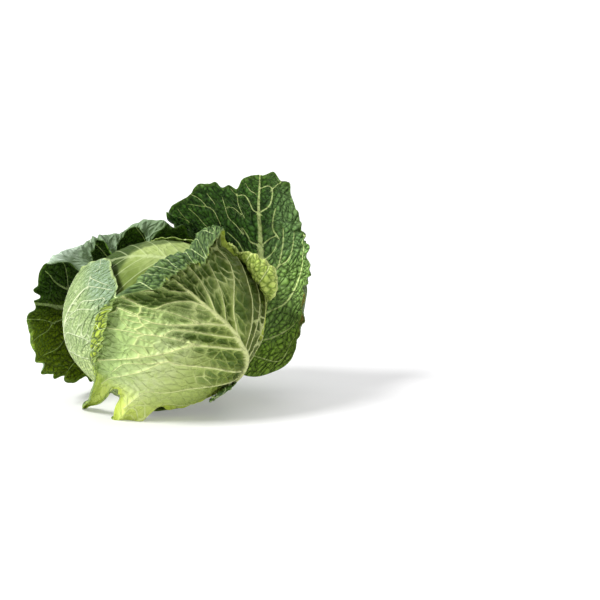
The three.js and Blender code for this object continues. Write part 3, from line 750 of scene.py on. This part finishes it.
def stem_mesh(rows, columns):
    """Cut stump turned round the stem's axis: a slightly fluted side and a domed, dished cut.

    The profile is a list of (radius share, height). The flutes are two sine waves of the
    radius round the axis, about 0.3 mm high.
    """
    start = ellipsoid_reach(STEM, HEART_SIZE) - 1.5
    side_profile = [(0.15, start), (1.0, start), (0.99, start + 3), (0.97, start + 8)]
    cut_profile = [(0.95, 2.6), (0.90, 1.2), (0.82, 0.6), (0.60, 0.8), (0.40, 1.4), (0.22, 1.9),
                   (0.08, 2.1)]
    profile = np.array(side_profile + [(share, STEM_END - down) for share, down in cut_profile])
    t = np.linspace(0, len(profile) - 1, rows)
    share, height = (np.interp(t, np.arange(len(profile)), part)[:, None] for part in profile.T)
    turn = (np.arange(columns) * 2 * np.pi / columns)[None]
    flute = 0.5 * np.sin(7 * turn) + 0.3 * np.sin(13 * turn + 1)
    radius = share * STEM_RADIUS * (1 - 0.02 + flute * 0.03)
    side = unit(np.cross(STEM, [0, 1, 0]))
    other = np.cross(STEM, side)
    ring = (height[..., None] * STEM + (radius * np.cos(turn))[..., None] * side
            + (radius * np.sin(turn))[..., None] * other)
    points = np.concatenate([ring.reshape(-1, 3), [STEM * start, STEM * profile[-1, 1]]])
    outward = np.roll(ring_faces(rows, columns)[:, ::-1], 1, axis=1)
    return add_mesh("stem", points, outward)


# ---------------------------------------------------------------- finishes

class Value:
    """A socket's value in a material; + - * / with numbers or other values add Math nodes."""

    def __init__(self, finish, socket):
        self.finish, self.socket = finish, socket

    def math(self, operation, *parts):
        """Adds a Math node for the operation on the parts."""
        inputs = dict(enumerate(parts))
        return self.finish.node("ShaderNodeMath", {"operation": operation}, inputs)

    def __add__(self, other):
        return self.math("ADD", self, other)

    def __radd__(self, other):
        return self.math("ADD", other, self)

    def __sub__(self, other):
        return self.math("SUBTRACT", self, other)

    def __rsub__(self, other):
        return self.math("SUBTRACT", other, self)

    def __mul__(self, other):
        return self.math("MULTIPLY", self, other)

    def __rmul__(self, other):
        return self.math("MULTIPLY", other, self)

    def __truediv__(self, other):
        return self.math("DIVIDE", self, other)

    def __rtruediv__(self, other):
        return self.math("DIVIDE", other, self)

    def __abs__(self):
        return self.math("ABSOLUTE", self)


class Finish:
    """A material under construction, with its one Principled shader."""

    def __init__(self, name):
        self.material = bpy.data.materials.new(name)
        self.material.use_nodes = True
        self.tree = self.material.node_tree
        self.shader = self.tree.nodes["Principled BSDF"]

    def node(self, kind, settings=None, inputs=None, output=0):
        """Adds a node: first its settings or ramp stops, then the values or links of sockets."""
        made = self.tree.nodes.new(kind)
        for key, value in (settings or {}).items():
            setattr(made, key, value)
        for key, value in (inputs or {}).items():
            if isinstance(value, Value):
                self.tree.links.new(value.socket, made.inputs[key])
            else:
                made.inputs[key].default_value = value
        return Value(self, made.outputs[output])

    def attribute(self, name):
        """A vector attribute, and its three numbers."""
        vector = self.node("ShaderNodeAttribute", {"attribute_name": name}, output="Vector")
        made = self.node("ShaderNodeSeparateXYZ", inputs={0: vector})
        outputs = made.socket.node.outputs
        return vector, [Value(self, socket) for socket in outputs]

    def noise(self, place, scale, detail):
        """Cloudy noise from 0 to 1, with about scale clouds in a metre."""
        return self.node("ShaderNodeTexNoise", inputs={
            "Vector": place, "Scale": scale, "Detail": detail})

    def walls(self, place, randomness):
        """Distance to the walls of two-dimensional Voronoi cells, one to a unit square."""
        return self.node("ShaderNodeTexVoronoi",
                         {"voronoi_dimensions": "2D", "feature": "DISTANCE_TO_EDGE"},
                         {"Vector": place, "Scale": 1.0, "Randomness": randomness})

    def fade(self, value, one_at, zero_at):
        """One at one value, zero at another, easing between."""
        return self.node("ShaderNodeMapRange", {"interpolation_type": "SMOOTHSTEP"}, {
            "Value": value, "From Min": zero_at, "From Max": one_at})

    def blend(self, factor, colour_a, colour_b):
        """The first colour at factor 0, the second at 1."""
        return self.node("ShaderNodeMix", {"data_type": "RGBA"}, {
            0: factor, 6: colour_a, 7: colour_b}, output=2)

    def feed(self, **values):
        """Links or sets sockets of the shader; underscores in names stand for spaces."""
        for key, value in values.items():
            socket = self.shader.inputs[key.replace("_", " ")]
            if isinstance(value, Value):
                self.tree.links.new(value.socket, socket)
            else:
                socket.default_value = value
        return self.material


def shade(red, green, blue):
    """Screen colour from 0 to 255 as a linear colour."""
    parts = np.array([red, green, blue]) / 255
    linear = np.where(parts > 0.04045, ((parts + 0.055) / 1.055)**2.4, parts / 12.92)
    return (*map(float, linear), 1.0)


BLADE_CLOUDS = ((30, 3), (170, 4), (900, 3))     # patches, mottle and grain: scale, detail
BUMP, BUMP_DEPTH = 0.85, 0.0009           # strength without a leaf's own, and depth in metres
GLOSS = 0.4


def leaf_finish(name, look):
    """Savoy leaf: pale midrib, side veins and a net of small veins over darker puffed cells.

    look gives each side its tones: base and lit cells, pits of a greener tone deepened with painted
    shade, painted shade in creases and beside the walls of large blisters, rim, net and veins, and
    zones that tint the blade where (x share) x + (y share) y passes from the third number of
    a zone to the fourth; several zones are painted shade and two are partly painted light. Each is
    blended over those before it, as strongly as its share says.
    """
    finish = Finish(name + "_finish")
    signed, distance, half = finish.attribute("veins")[1]
    rows, (_, _, edge) = finish.attribute("rows")
    fine, (_, _, depth) = finish.attribute("fine")
    _, (chart_x, chart_y, _) = finish.attribute("chart")
    inner = finish.node("ShaderNodeAttribute", {"attribute_name": "inner_side"}, output="Fac")
    place = finish.node("ShaderNodeTexCoord", output="Object")
    patches, mottle, grain = (finish.noise(place, *cloud) for cloud in BLADE_CLOUDS)
    uneven = mottle * 0.8 + 0.6
    vein = (finish.fade(abs(signed) / (half * uneven), 0.5, 1.25)
            * finish.fade(distance - half, 0.5, 1.1))
    large_wall = finish.walls(rows, LARGE_SPREAD)
    small_wall = finish.walls(fine, SMALL_SPREAD)
    net = finish.fade(large_wall / uneven, 0.05, 0.12) * finish.fade(patches, 0.3, 0.5)
    # Painted shade: dark colour along the small blisters' walls, in the creases between the
    # blisters.
    crease = finish.fade(small_wall, 0.02, 0.22)
    # Painted shade: the crease colour laid beside the walls of large blisters, where their hollows
    # lie.
    hollow = finish.fade(large_wall, 0.02, 0.26)
    colours = []
    for side in ("outer", "inner"):
        tone = look[side]
        colour = finish.blend(finish.fade(mottle + patches * 0.6, 0.95, 0.6),
                              shade(*tone["base"]), shade(*tone["lit"]))
        for x_share, y_share, none_at, full_at, zone_colour, strength in tone["zones"]:
            way = chart_x * x_share + chart_y * y_share + patches * 30 - 15
            factor = finish.fade(way, full_at, none_at) * strength
            colour = finish.blend(factor, colour, shade(*zone_colour))
        # Pits: deep in a blister the blade turns darker green, partly its own greener tone and
        # partly painted shade in the hollow.
        colour = finish.blend(finish.fade(depth, 0.9, 0.1) * tone["pit_share"], colour,
                              shade(*tone["pit"]))
        colour = finish.blend(crease * tone["crease_share"], colour, shade(*tone["crease"]))
        colour = finish.blend(hollow * tone["hollow_share"], colour, shade(*tone["crease"]))
        width, rim_colour, strength = tone["rim"]
        rim = finish.fade(edge + patches * width - width * 0.5, width * 0.2, width)
        colour = finish.blend(rim * strength, colour, shade(*rim_colour))
        colour = finish.blend(net * tone["net_share"], colour, shade(*tone["net"]))
        colour = finish.blend(vein * tone["vein_share"], colour, shade(*tone["vein"]))
        colours.append(colour)
    colour = finish.blend(inner, *colours)
    roughness = 0.40 + patches * 0.16 + mottle * 0.14
    small_dome = finish.fade(small_wall, 0.35, 0.0)
    side_sign = inner * 2.0 - 1.0
    height = ((small_dome * 0.9 + finish.fade(large_wall, 0.16, 0.0) * 1.2) * side_sign
              + vein * 0.8 * (1.0 - inner) + mottle * 0.7 + grain * 0.12)
    normal = finish.node("ShaderNodeBump", {}, {
        "Strength": look.get("bump", BUMP), "Distance": BUMP_DEPTH, "Height": height})
    return finish.feed(Base_Color=colour, Roughness=roughness, Normal=normal,
                       Specular_IOR_Level=look.get("gloss", GLOSS))


USUAL_SHARES = dict(crease_share=0.35, hollow_share=0.4, net_share=0.6, vein_share=0.9,
                    pit=(120, 150, 60), pit_share=0.0, zones=())


def tones(base, lit, crease, net, vein, rim, **others):
    """Screen colours of one side of a leaf; rim is (width, colour, share), others as usual."""
    return dict(USUAL_SHARES, base=base, lit=lit, crease=crease, net=net, vein=vein, rim=rim,
                **others)


# Zones darken the right half and its lower corner to olive: partly the blade's own darker green,
# partly painted shade on the side turned from the key light.
FRONT_OUTER = tones(
    (204, 222, 140), (220, 233, 168), (100, 128, 40), (220, 232, 154), (226, 234, 160),
    (10, (190, 210, 70), 0.8), crease_share=0.06, hollow_share=0.12, net_share=0.9,
    pit=(84, 114, 34), pit_share=0.85,
    zones=[(-0.1, 1, 0, 50, (164, 194, 114), 0.85), (1, 0.15, -50, 0, (164, 182, 104), 0.9),
           (1, 0.3, 0, 32, (166, 182, 110), 0.9), (0.2, -1, -25, 20, (172, 190, 98), 0.9),
           (0.2, -1, 25, 70, (138, 158, 52), 0.85), (1, -0.8, 26, 54, (70, 84, 12), 0.85),
           (-1, -0.3, 100, 125, (212, 228, 96), 0.75)])
FRONT_INNER = tones(
    (74, 104, 42), (110, 140, 74), (34, 64, 16), (160, 184, 118), (196, 214, 148),
    (3, (150, 178, 96), 0.6), crease_share=0.85, net_share=0.3,
    zones=[(-1, 0, 44, 64, (172, 194, 56), 0.9)])
PALE_OUTER = tones(
    (184, 204, 126), (200, 216, 146), (150, 174, 90), (206, 220, 154), (216, 228, 170),
    (6, (160, 184, 76), 0.6))
PALE_INNER = tones(
    (108, 138, 56), (136, 160, 78), (64, 94, 28), (160, 182, 106), (186, 202, 128),
    (5, (140, 166, 62), 0.6), crease_share=0.6)
GREY_OUTER = tones(
    (156, 178, 116), (176, 196, 134), (104, 134, 70), (212, 226, 176), (220, 232, 186),
    (4, (184, 204, 120), 0.6), crease_share=0.6, net_share=0.85,
    zones=[(0.35, 1, 85, 120, (140, 166, 140), 0.85), (0, -1, -45, 5, (208, 224, 146), 0.8)])
DARK_INNER = tones(
    (48, 90, 22), (96, 146, 58), (10, 30, 3), (152, 190, 110), (206, 228, 154),
    (5, (104, 140, 44), 0.5), crease_share=0.55, net_share=0.55)
BACK_LEFT_INNER = dict(DARK_INNER, base=(44, 78, 12), lit=(72, 110, 22), net=(124, 160, 70),
                       zones=[(1, -0.5, 15, 55, (136, 160, 22), 0.9)])
# The first two zones lighten the right side and the lower middle: partly a lighter own green,
# partly painted light where the head's shadow falls.
BACK_RIGHT_INNER = dict(
    DARK_INNER, base=(38, 80, 16), vein=(238, 255, 170), vein_share=1.0,
    zones=[(-1, 0, -12, 18, (156, 200, 122), 0.8), (-0.2, -1, -30, 10, (168, 208, 108), 0.85),
           (-0.6, -1, 55, 95, (172, 214, 76), 0.85), (0, 1, 80, 110, (92, 134, 44), 0.6),
           (-1, -0.5, 62, 90, (150, 178, 70), 0.4), (-1, -0.08, 73, 79, (158, 112, 60), 0.8)])
DARK_OUTER = tones(
    (168, 188, 164), (198, 214, 196), (122, 148, 112), (212, 226, 206), (224, 236, 214),
    (4, (112, 142, 84), 0.6), crease_share=0.3, hollow_share=0.25)
# The second zone darkens the crest beside the flap to deep green: painted shade.
BACK_LEFT_OUTER = dict(DARK_OUTER, zones=[
    (0, -1, -40, 10, (138, 166, 98), 0.85), (-1, 0.4, 39, 52, (84, 112, 62), 0.8)])
BACK_RIGHT_OUTER = dict(DARK_OUTER, zones=[
    (0, -1, -70, 10, (138, 166, 98), 0.85), (-1, 0, 15, 40, (110, 128, 66), 0.9)])
# Zones: the olive left side and the near-black green band at the top edge are painted shade, the
# shadow of the leaves over the dome and the dark gap under them.
CROWN_OUTER = tones(
    (146, 164, 92), (164, 180, 112), (140, 160, 84), (188, 202, 144), (194, 208, 152),
    (4, (180, 196, 130), 0.5), crease_share=0.0, hollow_share=0.04, net_share=0.12,
    vein_share=0.4,
    zones=[(-1, 0.2, -8, 28, (92, 112, 36), 0.9), (0, 1, 17, 27, (46, 68, 18), 0.85),
           (0.7, 0.7, 18, 25, (46, 68, 18), 0.75)])
PATCH_SIDE = tones(
    (168, 196, 72), (212, 230, 118), (98, 126, 28), (214, 228, 138), (222, 234, 156),
    (5, (214, 228, 132), 0.8), crease_share=0.7)
LOOKS = {
    "crown_leaf": dict(outer=CROWN_OUTER, inner=PALE_INNER, bump=0.35, gloss=0.15),
    "rear_wrapper_leaf": dict(outer=PALE_OUTER, inner=PALE_INNER),
    "left_wrapper_leaf": dict(outer=GREY_OUTER, inner=PALE_INNER),
    "front_wrapper_leaf": dict(outer=FRONT_OUTER, inner=FRONT_INNER, bump=0.75),
    "right_wrapper_leaf": dict(outer=PATCH_SIDE, inner=PATCH_SIDE),
    "back_left_leaf": dict(outer=BACK_LEFT_OUTER, inner=BACK_LEFT_INNER, bump=0.6),
    "back_right_leaf": dict(outer=BACK_RIGHT_OUTER, inner=BACK_RIGHT_INNER, bump=1.0),
    "under_leaf": dict(outer=DARK_INNER, inner=DARK_INNER),
}


def heart_finish():
    """Packed inner leaves: pale yellow green in soft patches, with a lighter mottle."""
    finish = Finish("heart_finish")
    place = finish.node("ShaderNodeTexCoord", output="Object")
    patches = finish.noise(place, 22, 3)
    mottle = finish.noise(place, 140, 4)
    colour = finish.blend(finish.fade(patches, 0.62, 0.4), shade(176, 196, 124),
                          shade(204, 216, 156))
    colour = finish.blend(mottle * 0.3, colour, shade(220, 228, 182))
    normal = finish.node("ShaderNodeBump", {}, {
        "Strength": 0.4, "Distance": 0.0008, "Height": mottle})
    return finish.feed(Base_Color=colour, Roughness=0.42 + patches * 0.15, Normal=normal)


def stem_finish():
    """Cut stalk: greenish white with drier brownish patches and a fine grain of fibres."""
    finish = Finish("stem_finish")
    place = finish.node("ShaderNodeTexCoord", output="Object")
    patches = finish.noise(place, 60, 4)
    fibres = finish.noise(place, 700, 3)
    colour = finish.blend(patches, shade(196, 204, 150), shade(226, 224, 190))
    colour = finish.blend(finish.fade(patches, 0.7, 0.52) * 0.5, colour, shade(176, 156, 104))
    colour = finish.blend(fibres * 0.35, colour, shade(206, 208, 160))
    normal = finish.node("ShaderNodeBump", {}, {
        "Strength": 0.5, "Distance": 0.0005, "Height": fibres + patches})
    return finish.feed(Base_Color=colour, Roughness=0.6 + fibres * 0.2, Normal=normal)


# ---------------------------------------------------------------- putting it together

def finish_piece(piece, node, material):
    """Gives a piece its material and its place in the frame."""
    piece.data.materials.append(material)
    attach(piece, "root")
    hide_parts(node)


def build_cabbage():
    """Every leaf that LEAVES describes, then the heart and the stem."""
    for name in LEAVES:
        finish_piece(leaf_mesh(name), name, leaf_finish(name, LOOKS[name]))
    finish_piece(heart_mesh(rows=70, columns=120), "heart", heart_finish())
    finish_piece(stem_mesh(rows=34, columns=48), "stem", stem_finish())


# ---------------------------------------------------------------- floor, light, camera

FLOOR_WIDTH = 60.0
# Painted light: the floor's own glow, which pales the shadows on it.
FLOOR_PAINTED_GLOW = 0.25
SURROUND_STRENGTH = 0.36
KEY_LIGHT = ((0.80, 0.34, -0.76), 3.7, 20)       # the way it shines, strength, softness
TOP_LIGHT = ((-0.1, -0.25, -1.0), 1.3, 60)
VIEW_ELEVATION = 12.0
VIEW_DISTANCE = 1.5
VIEW_WIDTH = 0.5442                       # what the view's width spans at the heart
VIEW_RIGHT, VIEW_UP = 0.1244, 0.0169      # the view's middle from the middle of the heart


def plain_floor():
    """Large pale floor at table level, with a trace of tone so that it isn't one flat colour.

    It glows a little of its own: painted light, which keeps the shadows on it pale.
    """
    half = FLOOR_WIDTH / 2
    mesh = bpy.data.meshes.new("floor")
    mesh.from_pydata([(-half, -half, 0), (half, -half, 0), (half, half, 0), (-half, half, 0)],
                     [], [(0, 1, 2, 3)])
    floor = bpy.data.objects.new("floor", mesh)
    bpy.context.scene.collection.objects.link(floor)
    finish = Finish("floor_finish")
    place = finish.node("ShaderNodeTexCoord", output="Object")
    tone = finish.noise(place, 3, 2)
    colour = finish.blend(tone, shade(216, 216, 217), shade(220, 219, 219))
    mesh.materials.append(finish.feed(
        Base_Color=colour, Roughness=0.75, Specular_IOR_Level=0.1,
        Emission_Color=shade(253, 253, 255), Emission_Strength=FLOOR_PAINTED_GLOW))


def soft_sun(name, direction, strength, softness):
    """A broad distant light shining along the direction; softness is its angle in degrees."""
    data = bpy.data.lights.new(name, "SUN")
    data.energy = strength
    data.angle = math.radians(softness)
    lamp = bpy.data.objects.new(name, data)
    lamp.rotation_mode = "QUATERNION"
    lamp.rotation_quaternion = Vector(direction).to_track_quat("-Z", "Y")
    bpy.context.scene.collection.objects.link(lamp)


def studio_light():
    """A pale surround, a soft light from the upper left front and a broad weak one on top."""
    world = bpy.data.worlds.new("pale_studio")
    world.use_nodes = True
    background = world.node_tree.nodes["Background"]
    background.inputs["Color"].default_value = (1.0, 1.0, 0.99, 1)
    background.inputs["Strength"].default_value = SURROUND_STRENGTH
    bpy.context.scene.world = world
    soft_sun("key_light", *KEY_LIGHT)
    soft_sun("top_light", *TOP_LIGHT)
    bpy.context.scene.view_settings.view_transform = "Standard"


def place_camera():
    """Camera in front of the cabbage, a little above it, looking past its right side."""
    tilt = math.radians(VIEW_ELEVATION)
    forward = Vector((0, math.cos(tilt), -math.sin(tilt)))
    right = Vector((1, 0, 0))
    up = right.cross(forward)
    data = bpy.data.cameras.new("camera")
    data.sensor_width = 36
    data.lens = data.sensor_width * VIEW_DISTANCE / VIEW_WIDTH
    camera = bpy.data.objects.new("camera", data)
    target = HEART_MIDDLE + right * VIEW_RIGHT + up * VIEW_UP
    camera.location = target - forward * VIEW_DISTANCE
    camera.rotation_mode = "QUATERNION"
    camera.rotation_quaternion = Matrix((right, up, -forward)).transposed().to_quaternion()
    bpy.context.scene.collection.objects.link(camera)
    bpy.context.scene.camera = camera


build_cabbage()
plain_floor()
studio_light()
place_camera()
